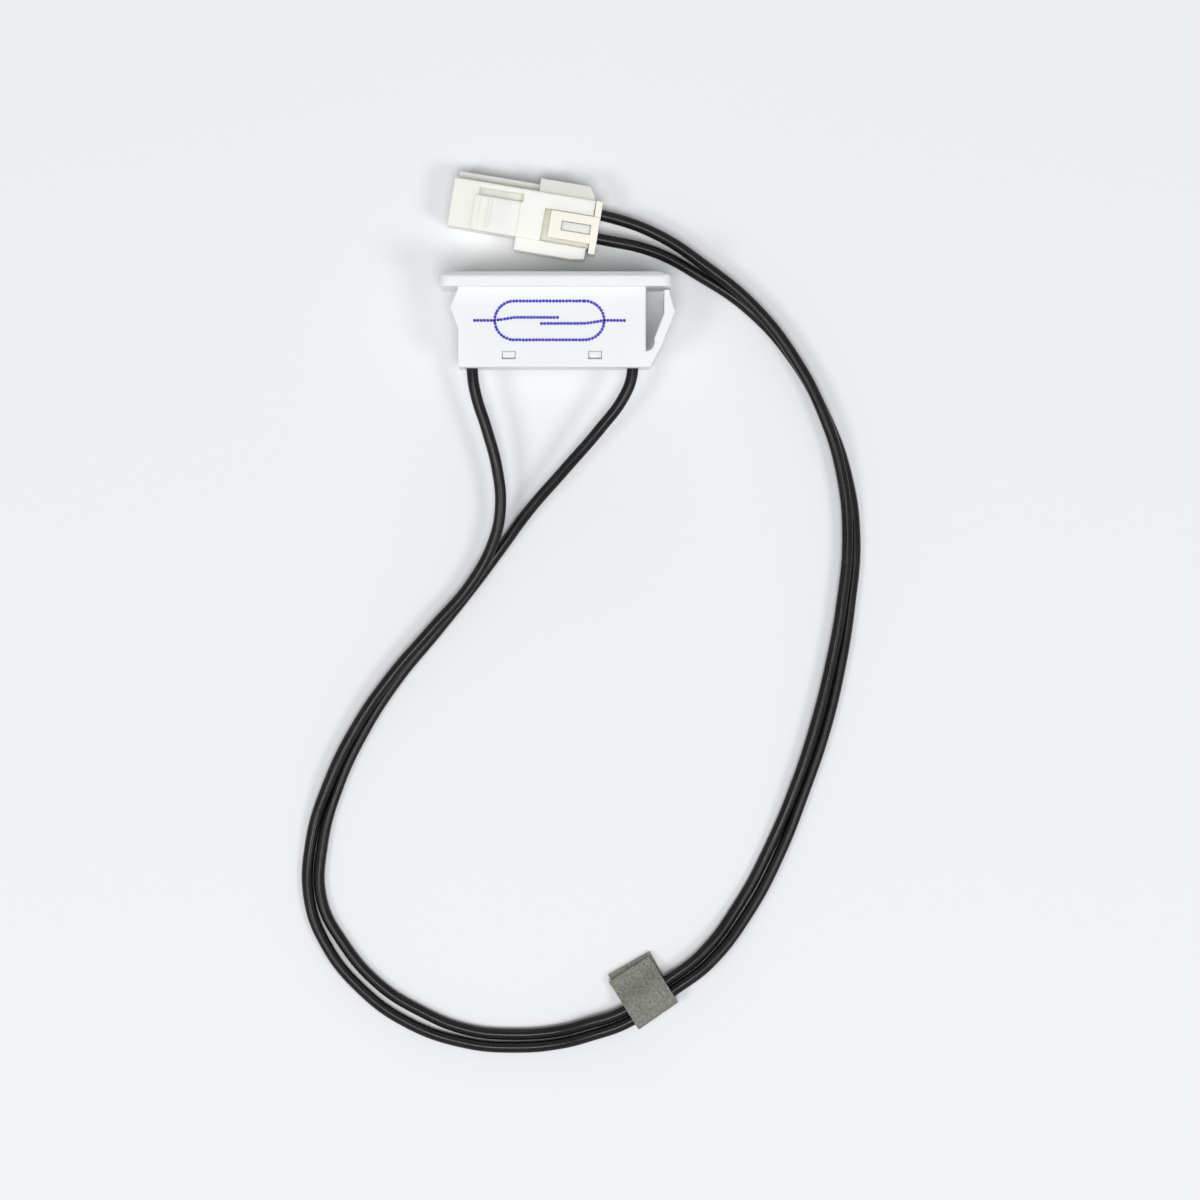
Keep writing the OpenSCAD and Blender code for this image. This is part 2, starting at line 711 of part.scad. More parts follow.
module connector_retainer() {
    plate_x0 = conn_x1 + clip_fit;
    color("wheat") in_connector_frame() difference() {
        union() {
            block(
                [plate_x0, plate_offset - plate_w / 2, plate_step],
                [retainer_x1, plate_offset + plate_w / 2, conn_h - plate_step]
            );
            both_faces() translate([(clip_x0 + retainer_x1) / 2, clip_offset, conn_h - clip_t])
                linear_extrude(clip_t) rounded_rect([retainer_x1 - clip_x0, clip_w], clip_r);
        }
        translate([0, 0, -past]) linear_extrude(conn_h + 2 * past) clip_window_plan(0);
        for (sy = [-1, 1])
            translate([0, sy * terminal_pitch / 2, conn_mid]) along_x(plate_x0 - past, retainer_x1 + past)
                circle(wire_d / 2 + wire_clear);
    }
}

// Terminal: a pin, a square body and a crimp barrel that meets the wire's insulation
module terminal(side) {
    pin_x0 = socket_x1 - pin_len;
    color("gold") in_connector_frame() translate([0, side * terminal_pitch / 2, conn_mid]) {
        translate([pin_x0 + pin_d / 2, 0, 0]) sphere(pin_d / 2);
        along_x(pin_x0 + pin_d / 2, terminal_x0 + past) circle(pin_d / 2);
        translate([terminal_x0 + terminal_len / 2, 0, 0])
            cube([terminal_len, terminal_side, terminal_side], center = true);
        along_x(terminal_x0 + terminal_len - past, barrel_x1) circle(wire_d / 2);
    }
}

module upper_terminal() {
    terminal(1);
}

module lower_terminal() {
    terminal(-1);
}

switch_housing();
rear_cover();
glass_envelope();
left_lead();
right_lead();
left_reed();
right_reed();
left_splice();
right_splice();
left_conductor();
right_conductor();
left_wire();
right_wire();
foam_wrap();
connector_housing();
connector_retainer();
upper_terminal();
lower_terminal();
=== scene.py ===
"""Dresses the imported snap-in reed switch: moulded housing, leads, foam wrap and two-way connector.

Lengths are millimetres until a mesh is placed, and MM turns them into the frame's metres.
"""

import json
import logging
from collections.abc import Callable
from dataclasses import dataclass
from enum import Enum
from math import cos, hypot, radians, sin
from typing import Any

import bmesh
import bpy
from mathutils import Matrix, Vector, noise

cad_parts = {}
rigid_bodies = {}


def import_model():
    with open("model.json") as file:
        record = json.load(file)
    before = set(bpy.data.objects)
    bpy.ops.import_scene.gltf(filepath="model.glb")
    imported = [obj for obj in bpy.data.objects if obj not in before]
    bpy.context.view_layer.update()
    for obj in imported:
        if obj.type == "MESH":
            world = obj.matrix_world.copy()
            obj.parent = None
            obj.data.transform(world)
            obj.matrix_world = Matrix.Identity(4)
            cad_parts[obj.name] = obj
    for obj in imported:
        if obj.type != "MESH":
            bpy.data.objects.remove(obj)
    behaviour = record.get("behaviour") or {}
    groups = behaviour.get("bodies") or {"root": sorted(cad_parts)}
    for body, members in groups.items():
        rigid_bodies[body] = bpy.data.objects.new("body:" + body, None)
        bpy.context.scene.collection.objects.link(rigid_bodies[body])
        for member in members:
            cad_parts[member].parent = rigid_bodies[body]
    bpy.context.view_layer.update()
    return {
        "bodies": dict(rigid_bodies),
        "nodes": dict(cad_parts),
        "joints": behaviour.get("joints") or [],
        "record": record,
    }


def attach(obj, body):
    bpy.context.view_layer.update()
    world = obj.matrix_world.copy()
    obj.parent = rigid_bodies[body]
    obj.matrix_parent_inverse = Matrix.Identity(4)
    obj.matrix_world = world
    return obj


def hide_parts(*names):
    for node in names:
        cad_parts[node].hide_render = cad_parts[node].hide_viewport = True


LOG = logging.getLogger("reed_switch")
MM = 0.001
Frame = dict[str, Any]
Pair = tuple[float, float]
Point = tuple[float, float, float]
Colour = tuple[float, float, float, float]

# The sRGB curve: straight up to the knee, a power above it.
SRGB_KNEE, SRGB_SLOPE, SRGB_LIFT, SRGB_POWER = 0.04045, 12.92, 0.055, 2.4
# Sockets of a colour Mix node go by index, because their names repeat.
MIX_SHARE, MIX_LOW, MIX_HIGH, MIX_RESULT = 0, 6, 7, 2
# Most values of a noise texture lie in this range.
NOISE_SPAN = (0.3, 0.7)

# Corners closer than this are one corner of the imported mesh.
MERGE_MM = 0.0005
# Faces that turn less than this lie in one plane, and edges that turn more than SHARP are edges of the moulding.
FLAT, SHARP = radians(0.5), radians(25)
# A face takes a rounded edge only if it is this many radii wide.
ROOM_FOR_EDGE = 2.2
EDGE_STEPS = 2


class Body(Enum):
    """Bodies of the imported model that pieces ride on."""

    SWITCH = "switch"


class Slot(Enum):
    """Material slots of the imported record."""

    HOUSING = "housing_plastic"
    WIRE = "wire_pvc"
    FOAM = "foam"
    NYLON = "natural_nylon"
    CREAM = "cream_plastic"


def linear(colour: str) -> Colour:
    """Turns an sRGB hex colour to linear.

    Args:
        colour: six hex digits after a hash sign.

    Returns:
        Red, green, blue and an alpha of 1.
    """
    parts = [int(colour[i : i + 2], 16) / 255 for i in (1, 3, 5)]
    red, green, blue = (
        p / SRGB_SLOPE if p <= SRGB_KNEE else ((p + SRGB_LIFT) / (1 + SRGB_LIFT)) ** SRGB_POWER for p in parts
    )
    return red, green, blue, 1.0


def per(size_mm: float) -> float:
    """Finds the texture scale for features of a size in Object coordinates.

    Args:
        size_mm: about how wide a feature is.

    Returns:
        The scale.
    """
    return 1 / (size_mm * MM)


def eased(share: float) -> float:
    """Eases a share in and out.

    Args:
        share: from 0 to 1.

    Returns:
        The eased share.
    """
    return share * share * (3 - 2 * share)


def add_node(
    tree: bpy.types.NodeTree, kind: str, settings: dict[str, Any], inputs: dict[str | int, Any]
) -> bpy.types.Node:
    """Adds one node with its settings and links.

    Args:
        tree: the node tree of a material or the world.
        kind: the node's type name.
        settings: properties of the node.
        inputs: input sockets by name or index, each a value or an output socket to link.

    Returns:
        The new node.
    """
    node = tree.nodes.new(kind)
    for key, value in settings.items():
        setattr(node, key, value)
    for key, value in inputs.items():
        if isinstance(value, bpy.types.NodeSocket):
            tree.links.new(value, node.inputs[key])
        else:
            node.inputs[key].default_value = value
    return node


def clouds(
    tree: bpy.types.NodeTree,
    place: bpy.types.NodeSocket,
    size_mm: float,
    detail: float,
    roughness: float = 0.5,
) -> bpy.types.NodeSocket:
    """Adds a noise texture.

    Args:
        tree: the material's node tree.
        place: the coordinates that it reads.
        size_mm: size of its largest features.
        detail: how many finer layers it has.
        roughness: how strong the finer layers are.

    Returns:
        The noise, about 0 to 1.
    """
    inputs = {"Vector": place, "Scale": per(size_mm), "Detail": detail, "Roughness": roughness}
    return add_node(tree, "ShaderNodeTexNoise", {}, inputs).outputs["Fac"]


def ranged(
    tree: bpy.types.NodeTree,
    value: bpy.types.NodeSocket,
    source: Pair,
    target: Pair = (0.0, 1.0),
    curve: str = "LINEAR",
) -> bpy.types.NodeSocket:
    """Adds a node that turns one range of values into another and holds the ends.

    Args:
        tree: the node tree.
        value: what is turned.
        source: the first range.
        target: the second range.
        curve: how it goes from end to end.

    Returns:
        The value in the second range.
    """
    inputs = {
        "Value": value,
        "From Min": source[0],
        "From Max": source[1],
        "To Min": target[0],
        "To Max": target[1],
    }
    return add_node(tree, "ShaderNodeMapRange", {"interpolation_type": curve}, inputs).outputs["Result"]


def blended(
    tree: bpy.types.NodeTree,
    share: bpy.types.NodeSocket,
    low: Colour | bpy.types.NodeSocket,
    high: Colour | bpy.types.NodeSocket,
) -> bpy.types.NodeSocket:
    """Adds a node that mixes two colours.

    Args:
        tree: the material's node tree.
        share: how much of the second colour there is.
        low: the first colour.
        high: the second colour.

    Returns:
        The mixed colour.
    """
    inputs = {MIX_SHARE: share, MIX_LOW: low, MIX_HIGH: high}
    return add_node(tree, "ShaderNodeMix", {"data_type": "RGBA"}, inputs).outputs[MIX_RESULT]


def larger(
    tree: bpy.types.NodeTree, first: bpy.types.NodeSocket, second: bpy.types.NodeSocket
) -> bpy.types.NodeSocket:
    """Adds a node that takes the larger of two values.

    Args:
        tree: the node tree.
        first: one value.
        second: the other.

    Returns:
        The larger.
    """
    return add_node(tree, "ShaderNodeMath", {"operation": "MAXIMUM"}, {0: first, 1: second}).outputs["Value"]


def relief(
    tree: bpy.types.NodeTree, height: bpy.types.NodeSocket, depth_mm: float, strength: float
) -> bpy.types.NodeSocket:
    """Adds a bump.

    Args:
        tree: the material's node tree.
        height: the pattern, 0 to 1.
        depth_mm: how deep it is.
        strength: how much of it is felt.

    Returns:
        The bumped normal.
    """
    inputs = {"Strength": strength, "Distance": depth_mm * MM, "Height": height}
    return add_node(tree, "ShaderNodeBump", {}, inputs).outputs["Normal"]


@dataclass(frozen=True)
class Finish:
    """A finish, which makes its material once."""

    name: str

    def material(self) -> bpy.types.Material:
        """Makes the material, or returns the one that was made.

        Returns:
            The material of this finish.
        """
        found = bpy.data.materials.get(self.name)
        if found:
            return found
        made = bpy.data.materials.new(self.name)
        made.use_nodes = True
        tree = made.node_tree
        tree.nodes.clear()
        place = add_node(tree, "ShaderNodeTexCoord", {}, {}).outputs["Object"]
        shader = add_node(tree, "ShaderNodeBsdfPrincipled", {}, self.skin(tree, place))
        add_node(tree, "ShaderNodeOutputMaterial", {}, {"Surface": shader.outputs["BSDF"]})
        return made

    def skin(self, tree: bpy.types.NodeTree, place: bpy.types.NodeSocket) -> dict[str, Any]:
        """Says what the shader's sockets hold; each finish has its own.

        Args:
            tree: the material's node tree.
            place: the Object coordinates.

        Returns:
            Values and output sockets by the shader's socket names.
        """
        raise NotImplementedError


@dataclass(frozen=True)
class MouldedPlastic(Finish):
    """Injection-moulded plastic: a faint cloudiness from the flow, and the fine grain of an eroded mould."""

    colour: str
    cloud: str
    roughness: Pair
    ior: float
    depth_mm: float
    scatter: float
    # How far red, green and blue go in, as shares of depth_mm.
    reach: Point = (1.0, 0.98, 0.92)
    cloud_mm: float = 5.0
    handled_mm: float = 1.4
    # The real grain is a few hundredths of a millimetre, and is drawn coarser so that it shows.
    grain_mm: float = 0.16
    grain_depth_mm: float = 0.006
    grain_strength: float = 0.35

    def skin(self, tree: bpy.types.NodeTree, place: bpy.types.NodeSocket) -> dict[str, Any]:
        """Builds clouded colour, uneven gloss and a grained surface.

        Args:
            tree: the material's node tree.
            place: the Object coordinates.

        Returns:
            Values and output sockets by the shader's socket names.
        """
        flow = clouds(tree, place, self.cloud_mm, detail=4.0)
        tint = blended(tree, flow, linear(self.colour), linear(self.cloud))
        handled = clouds(tree, place, self.handled_mm, detail=6.0, roughness=0.7)
        grain = clouds(tree, place, self.grain_mm, detail=2.0)
        return {
            "Base Color": self.tone(tree, place, tint),
            "Roughness": ranged(tree, handled, NOISE_SPAN, self.roughness),
            "IOR": self.ior,
            "Subsurface Weight": self.scatter,
            "Subsurface Radius": self.reach,
            "Subsurface Scale": self.depth_mm * MM,
            "Normal": relief(tree, grain, self.grain_depth_mm, self.grain_strength),
        }

    def tone(
        self, tree: bpy.types.NodeTree, place: bpy.types.NodeSocket, tint: bpy.types.NodeSocket
    ) -> bpy.types.NodeSocket:
        """Leaves the colour the same all over, as it is in a plastic with pigment.

        Args:
            tree: the material's node tree.
            place: the Object coordinates.
            tint: the clouded colour.

        Returns:
            The socket that gives the final colour.
        """
        return tint


@dataclass(frozen=True)
class UnfilledNylon(MouldedPlastic):
    """Nylon without pigment: light goes a little way into it, and its colour carries painted shade, grey over
    the thin far flank and the open mouth and warm in deep slots.
    """

    # Painted shade: the grey laid over the thin far flank and the mouth.
    thin_ink_and_painted_shade: str = "#dcddd7"
    # Painted shade: the warm tone laid into deep slots.
    warm_painted_shade: str = "#dcdbc8"
    # The connector's turn in the frame, and where the painted shade over its thin far flank and its mouth begins
    # and ends along its axes.
    turn: float = radians(-9.5)
    shaded_flank_mm: Pair = (17.1, 17.6)
    shaded_mouth_mm: Pair = (-13.6, -14.0)
    mouth_shade_share: float = 0.35
    # How near a wall has to be to shut a slot in, and the open shares at which the warm painted shade begins and
    # is full.
    slot_shade_mm: float = 1.2
    slot_shade_open: Pair = (0.78, 0.45)
    slot_shade_samples: int = 8

    def tone(
        self, tree: bpy.types.NodeTree, place: bpy.types.NodeSocket, tint: bpy.types.NodeSocket
    ) -> bpy.types.NodeSocket:
        """Paints shade into the colour: greys the thin far flank and the open mouth, and gives the deep slots a
        warm painted shade.

        Args:
            tree: the material's node tree.
            place: the Object coordinates.
            tint: the clouded colour.

        Returns:
            The socket that gives the final colour.
        """
        across = (-sin(self.turn), cos(self.turn), 0.0)
        along = (cos(self.turn), sin(self.turn), 0.0)
        shaded_flank = self.beyond(tree, place, across, self.shaded_flank_mm, 1.0)
        shaded_mouth = self.beyond(tree, place, along, self.shaded_mouth_mm, self.mouth_shade_share)
        # Painted shade: the far flank and the mouth are greyed.
        shade_greyed = blended(tree, larger(tree, shaded_flank, shaded_mouth), tint, linear(self.thin_ink_and_painted_shade))
        # Painted shade: ambient occlusion tints the deep slots warm.
        slot_shade = add_node(
            tree,
            "ShaderNodeAmbientOcclusion",
            {"samples": self.slot_shade_samples},
            {"Distance": self.slot_shade_mm * MM},
        )
        return blended(tree, ranged(tree, slot_shade.outputs["AO"], self.slot_shade_open), shade_greyed, linear(self.warm_painted_shade))

    def beyond(
        self, tree: bpy.types.NodeTree, place: bpy.types.NodeSocket, way: Point, limits_mm: Pair, most: float
    ) -> bpy.types.NodeSocket:
        """Marks what lies beyond a limit.

        Args:
            tree: the material's node tree.
            place: the Object coordinates.
            way: the direction that is measured.
            limits_mm: where the mark begins and where it is full.
            most: the full mark.

        Returns:
            The mark, from 0 to most.
        """
        reach = add_node(tree, "ShaderNodeVectorMath", {"operation": "DOT_PRODUCT"}, {0: place, 1: way})
        begin, full = (limit * MM for limit in limits_mm)
        return ranged(tree, reach.outputs["Value"], (begin, full), (0.0, most), "SMOOTHSTEP")


@dataclass(frozen=True)
class ExtrudedPvc(Finish):
    """Soft black PVC, extruded: nearly black, with a dull sheen that breaks up over a fine grain."""

    colour: str
    bloom: str
    roughness: Pair
    ior: float = 1.5
    shine: float = 0.18
    bloom_mm: float = 3.0
    bloom_span: Pair = (0.42, 0.75)
    # The real grain is finer than a tenth of a millimetre, and is drawn coarser so that it shows.
    grain_mm: float = 0.22
    grain_depth_mm: float = 0.014
    grain_strength: float = 0.8

    def skin(self, tree: bpy.types.NodeTree, place: bpy.types.NodeSocket) -> dict[str, Any]:
        """Builds a black skin with a pale bloom here and there.

        Args:
            tree: the material's node tree.
            place: the Object coordinates.

        Returns:
            Values and output sockets by the shader's socket names.
        """
        bloom = clouds(tree, place, self.bloom_mm, detail=8.0, roughness=0.65)
        patch = ranged(tree, bloom, self.bloom_span)
        grain = clouds(tree, place, self.grain_mm, detail=3.0)
        return {
            "Base Color": blended(tree, patch, linear(self.colour), linear(self.bloom)),
            "Roughness": ranged(tree, bloom, NOISE_SPAN, self.roughness),
            "IOR": self.ior,
            "Specular IOR Level": self.shine,
            "Normal": relief(tree, grain, self.grain_depth_mm, self.grain_strength),
        }


@dataclass(frozen=True)
class OpenCellFoam(Finish):
    """Grey polyurethane foam, sliced: matt, mottled, and pitted with open cells."""

    colour: str
    light: str
    # Painted shade: the dark of the open cells' hollows.
    pore_shade: str
    roughness: float = 0.95
    ior: float = 1.45
    shine: float = 0.2
    mottle_mm: float = 0.4
    mottle_span: Pair = (0.32, 0.68)
    pore_mm: float = 0.22
    # Distances from a cell's middle, in cells, between which a pore's wall rises.
    pore_span: Pair = (0.08, 0.42)
    pore_depth_mm: float = 0.06
    pore_strength: float = 0.7

    def skin(self, tree: bpy.types.NodeTree, place: bpy.types.NodeSocket) -> dict[str, Any]:
        """Builds mottled grey, with painted shade darkening the pores.

        Args:
            tree: the material's node tree.
            place: the Object coordinates.

        Returns:
            Values and output sockets by the shader's socket names.
        """
        mottle = clouds(tree, place, self.mottle_mm, detail=6.0, roughness=0.7)
        spread = ranged(tree, mottle, self.mottle_span)
        grey = blended(tree, spread, linear(self.colour), linear(self.light))
        cells = add_node(tree, "ShaderNodeTexVoronoi", {}, {"Vector": place, "Scale": per(self.pore_mm)})
        walls = ranged(tree, cells.outputs["Distance"], self.pore_span)
        return {
            # Painted shade: the hollows of the pores are darkened.
            "Base Color": blended(tree, walls, linear(self.pore_shade), grey),
            "Roughness": self.roughness,
            "IOR": self.ior,
            "Specular IOR Level": self.shine,
            "Normal": relief(tree, walls, self.pore_depth_mm, self.pore_strength),
        }


@dataclass(frozen=True)
class MarkingInk(Finish):
    """Violet marking ink, sprayed in dots: matt, and thin where a drop spread."""

    colour: str
    thin_ink_and_painted_shade: str
    roughness: float = 0.55
    ior: float = 1.5
    blot_mm: float = 0.5

    def skin(self, tree: bpy.types.NodeTree, place: bpy.types.NodeSocket) -> dict[str, Any]:
        """Builds ink that is uneven from dot to dot.

        Args:
            tree: the material's node tree.
            place: the Object coordinates.

        Returns:
            Values and output sockets by the shader's socket names.
        """
        blot = clouds(tree, place, self.blot_mm, detail=3.0)
        return {
            "Base Color": blended(tree, blot, linear(self.colour), linear(self.thin_ink_and_painted_shade)),
            "Roughness": self.roughness,
            "IOR": self.ior,
        }


@dataclass(frozen=True)
class CapsuleGlass(Finish):
    """Drawn soda glass with a faint green, clear but for the ripple of the flame that sealed it."""

    colour: str
    roughness: float = 0.03
    ior: float = 1.52
    ripple_mm: float = 1.2
    ripple_depth_mm: float = 0.02
    ripple_strength: float = 0.2

    def skin(self, tree: bpy.types.NodeTree, place: bpy.types.NodeSocket) -> dict[str, Any]:
        """Builds clear glass with a soft ripple.

        Args:
            tree: the material's node tree.
            place: the Object coordinates.

        Returns:
            Values and output sockets by the shader's socket names.
        """
        ripple = clouds(tree, place, self.ripple_mm, detail=1.0)
        return {
            "Base Color": linear(self.colour),
            "Roughness": self.roughness,
            "IOR": self.ior,
            "Transmission Weight": 1.0,
            "Normal": relief(tree, ripple, self.ripple_depth_mm, self.ripple_strength),
        }


@dataclass(frozen=True)
class DrawnMetal(Finish):
    """Drawn or plated metal: bright, with fine lines along the way it was drawn."""

    colour: str
    worn: str
    roughness: Pair
    # Length and widths of a line along X, Y and Z. Real lines are finer, and are drawn wider so that they show.
    lines_mm: Point
    line_depth_mm: float = 0.004
    line_strength: float = 0.3

    def skin(self, tree: bpy.types.NodeTree, place: bpy.types.NodeSocket) -> dict[str, Any]:
        """Builds metal with drawing lines and uneven plating.

        Args:
            tree: the material's node tree.
            place: the Object coordinates.

        Returns:
            Values and output sockets by the shader's socket names.
        """
        scale = tuple(per(size) for size in self.lines_mm)
        drawn = add_node(tree, "ShaderNodeMapping", {}, {"Vector": place, "Scale": scale}).outputs["Vector"]
        lines = add_node(
            tree, "ShaderNodeTexNoise", {}, {"Vector": drawn, "Scale": 1.0, "Detail": 4.0}
        ).outputs["Fac"]
        return {
            "Base Color": blended(tree, lines, linear(self.colour), linear(self.worn)),
            "Metallic": 1.0,
            "Roughness": ranged(tree, lines, NOISE_SPAN, self.roughness),
            "Normal": relief(tree, lines, self.line_depth_mm, self.line_strength),
        }


# White ABS, moulded: milky white with a cool cast, satin rather than glossy, softly lit from within at edges.
WHITE_ABS = MouldedPlastic(
    "white_abs_moulded", "#f0f3f5", "#ebeff1", roughness=(0.42, 0.56), ior=1.53, depth_mm=0.6, scatter=0.4
)
# Natural nylon, moulded without pigment: light goes in a millimetre, painted shade greys the thin far flank
# and the mouth, and a warm painted shade fills the deep slots.
NATURAL_NYLON = UnfilledNylon(
    "natural_nylon_moulded", "#fdfcf3", "#faf8eb", roughness=(0.34, 0.5), ior=1.53, depth_mm=1.5, scatter=0.9
)
# Cream PBT, moulded: a yellower, denser white than the nylon round it.
CREAM_PBT = MouldedPlastic(
    "cream_pbt_moulded", "#f5f4e8", "#f0eede", roughness=(0.34, 0.46), ior=1.54, depth_mm=0.5, scatter=0.3
)
# Black PVC, extruded: nearly black, with a thin broken highlight along the top of the wire and a faint bloom.
BLACK_PVC = ExtrudedPvc("black_pvc_extruded", "#0f0f10", "#1c1c1d", roughness=(0.14, 0.3))
# Grey polyurethane foam, sliced: no shine at all, and a salt-and-pepper skin of cut cells whose dark hollows are
# painted shade.
GREY_FOAM = OpenCellFoam("grey_polyurethane_foam_sliced", "#72726a", "#9a9a90", pore_shade="#4a4a44")
# Violet marking ink, sprayed: flat colour in round dots, a little paler where a drop spread thin.
VIOLET_INK = MarkingInk("violet_marking_ink_sprayed", "#2a10a6", thin_ink_and_painted_shade="#3d22b8")
# Soda glass, drawn into tube and flame-sealed: clear, faintly green, with a slow ripple.
CLEAR_GLASS = CapsuleGlass("soda_glass_drawn", "#e4f2ea")
# Nickel-iron, drawn and flattened: a grey metal with fine lines along the wire.
REED_ALLOY = DrawnMetal(
    "nickel_iron_drawn", "#b9b6ae", "#8f8d87", roughness=(0.22, 0.38), lines_mm=(2.4, 0.06, 0.06)
)
# Tinned brass, stamped: silvery with a warm cast where the tin is thin.
TINNED_BRASS = DrawnMetal(
    "tinned_brass_stamped", "#cfccc2", "#b3ab92", roughness=(0.24, 0.42), lines_mm=(1.2, 0.1, 0.1)
)
# Copper, drawn into strands: bright orange-brown, streaked along the wire.
BRIGHT_COPPER = DrawnMetal(
    "copper_strands_drawn", "#c77f56", "#a4603c", roughness=(0.26, 0.4), lines_mm=(0.08, 1.5, 0.08)
)


def new_piece(
    name: str, shape: bmesh.types.BMesh, finish: Finish, body: Body, sharp_deg: float = 40.0
) -> bpy.types.Object:
    """Makes an object of a finished shape and lets it ride on a body.

    Args:
        name: the piece's name.
        shape: the mesh in metres, in the frame, which is freed here.
        finish: what it is made of.
        body: the body it rides on.
        sharp_deg: edges that turn more than this stay sharp.

    Returns:
        The new object.
    """
    mesh = bpy.data.meshes.new(name)
    smooth = [face.smooth for face in shape.faces]
    shape.to_mesh(mesh)
    shape.free()
    mesh.set_sharp_from_angle(angle=radians(sharp_deg))
    mesh.polygons.foreach_set("use_smooth", smooth)
    mesh.materials.append(finish.material())
    piece = bpy.data.objects.new(name, mesh)
    bpy.context.scene.collection.objects.link(piece)
    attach(piece, body.value)
    LOG.info("%s: %d faces", name, len(mesh.polygons))
    return piece


def softened(
    frame: Frame,
    node: str,
    radius_mm: float,
    finish: Finish,
    reshape: Callable[[bmesh.types.BMesh], None] | None = None,
) -> bpy.types.Object:
    """Makes a piece from a node, with the small radii that a moulding has on its edges.

    Args:
        node: the node that the piece stands for.
        radius_mm: radius of the edges.
        finish: what it is made of.
        reshape: a change to the merged mesh, made before its edges are rounded.

    Returns:
        The new object.
    """
    shape = bmesh.new()
    shape.from_mesh(frame["nodes"][node].data)
    bmesh.ops.remove_doubles(shape, verts=shape.verts[:], dist=MERGE_MM * MM)
    if reshape:
        reshape(shape)
    bmesh.ops.dissolve_limit(shape, angle_limit=FLAT, verts=shape.verts[:], edges=shape.edges[:])
    turned = [e for e in shape.edges if e.is_convex and e.calc_face_angle() > SHARP]
    wide = ROOM_FOR_EDGE * radius_mm * MM
    sharp = [e for e in turned if all(f.calc_area() > wide * e.calc_length() for f in e.link_faces)]
    for face in shape.faces:
        bends = (edge.calc_face_angle(0.0) for edge in face.edges)
        face.smooth = any(FLAT < bend < SHARP for bend in bends)
    made = bmesh.ops.bevel(
        shape,
        geom=sharp,
        offset=radius_mm * MM,
        offset_type="OFFSET",
        affect="EDGES",
        segments=EDGE_STEPS,
        profile=0.5,
        clamp_overlap=False,
        material=-1,
    )
    for face in made["faces"]:
        face.smooth = True
    piece = new_piece(f"{node}_moulded", shape, finish, Body.SWITCH)
    weighted = piece.modifiers.new("even_shading", "WEIGHTED_NORMAL")
    weighted.keep_sharp = True
    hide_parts(node)
    return piece


def dress(frame: Frame, finish: Finish, *nodes: str) -> None:
    """Gives nodes whose shape is right their finish.

    Args:
        finish: what they are made of.
        nodes: their names.
    """
    for node in nodes:
        mesh = frame["nodes"][node].data
        mesh.materials.clear()
        mesh.materials.append(finish.material())
        LOG.info("%s: %s", node, finish.name)


@dataclass(frozen=True)
class Softbox:
    """A square soft lamp that looks at the middle of the picture."""

    name: str
    place_mm: Point
    side_mm: float
    power_w: float

    def hang(self, target: Vector) -> None:
        """Hangs the lamp.

        Args:
            target: the point it looks at, in metres.
        """
        lamp = bpy.data.lights.new(self.name, "AREA")
        lamp.shape = "SQUARE"
        lamp.size = self.side_mm * MM
        lamp.energy = self.power_w
        holder = bpy.data.objects.new(self.name, lamp)
        holder.location = Vector(self.place_mm) * MM
        holder.rotation_euler = (target - holder.location).to_track_quat("-Z", "Y").to_euler()
        bpy.context.scene.collection.objects.link(holder)


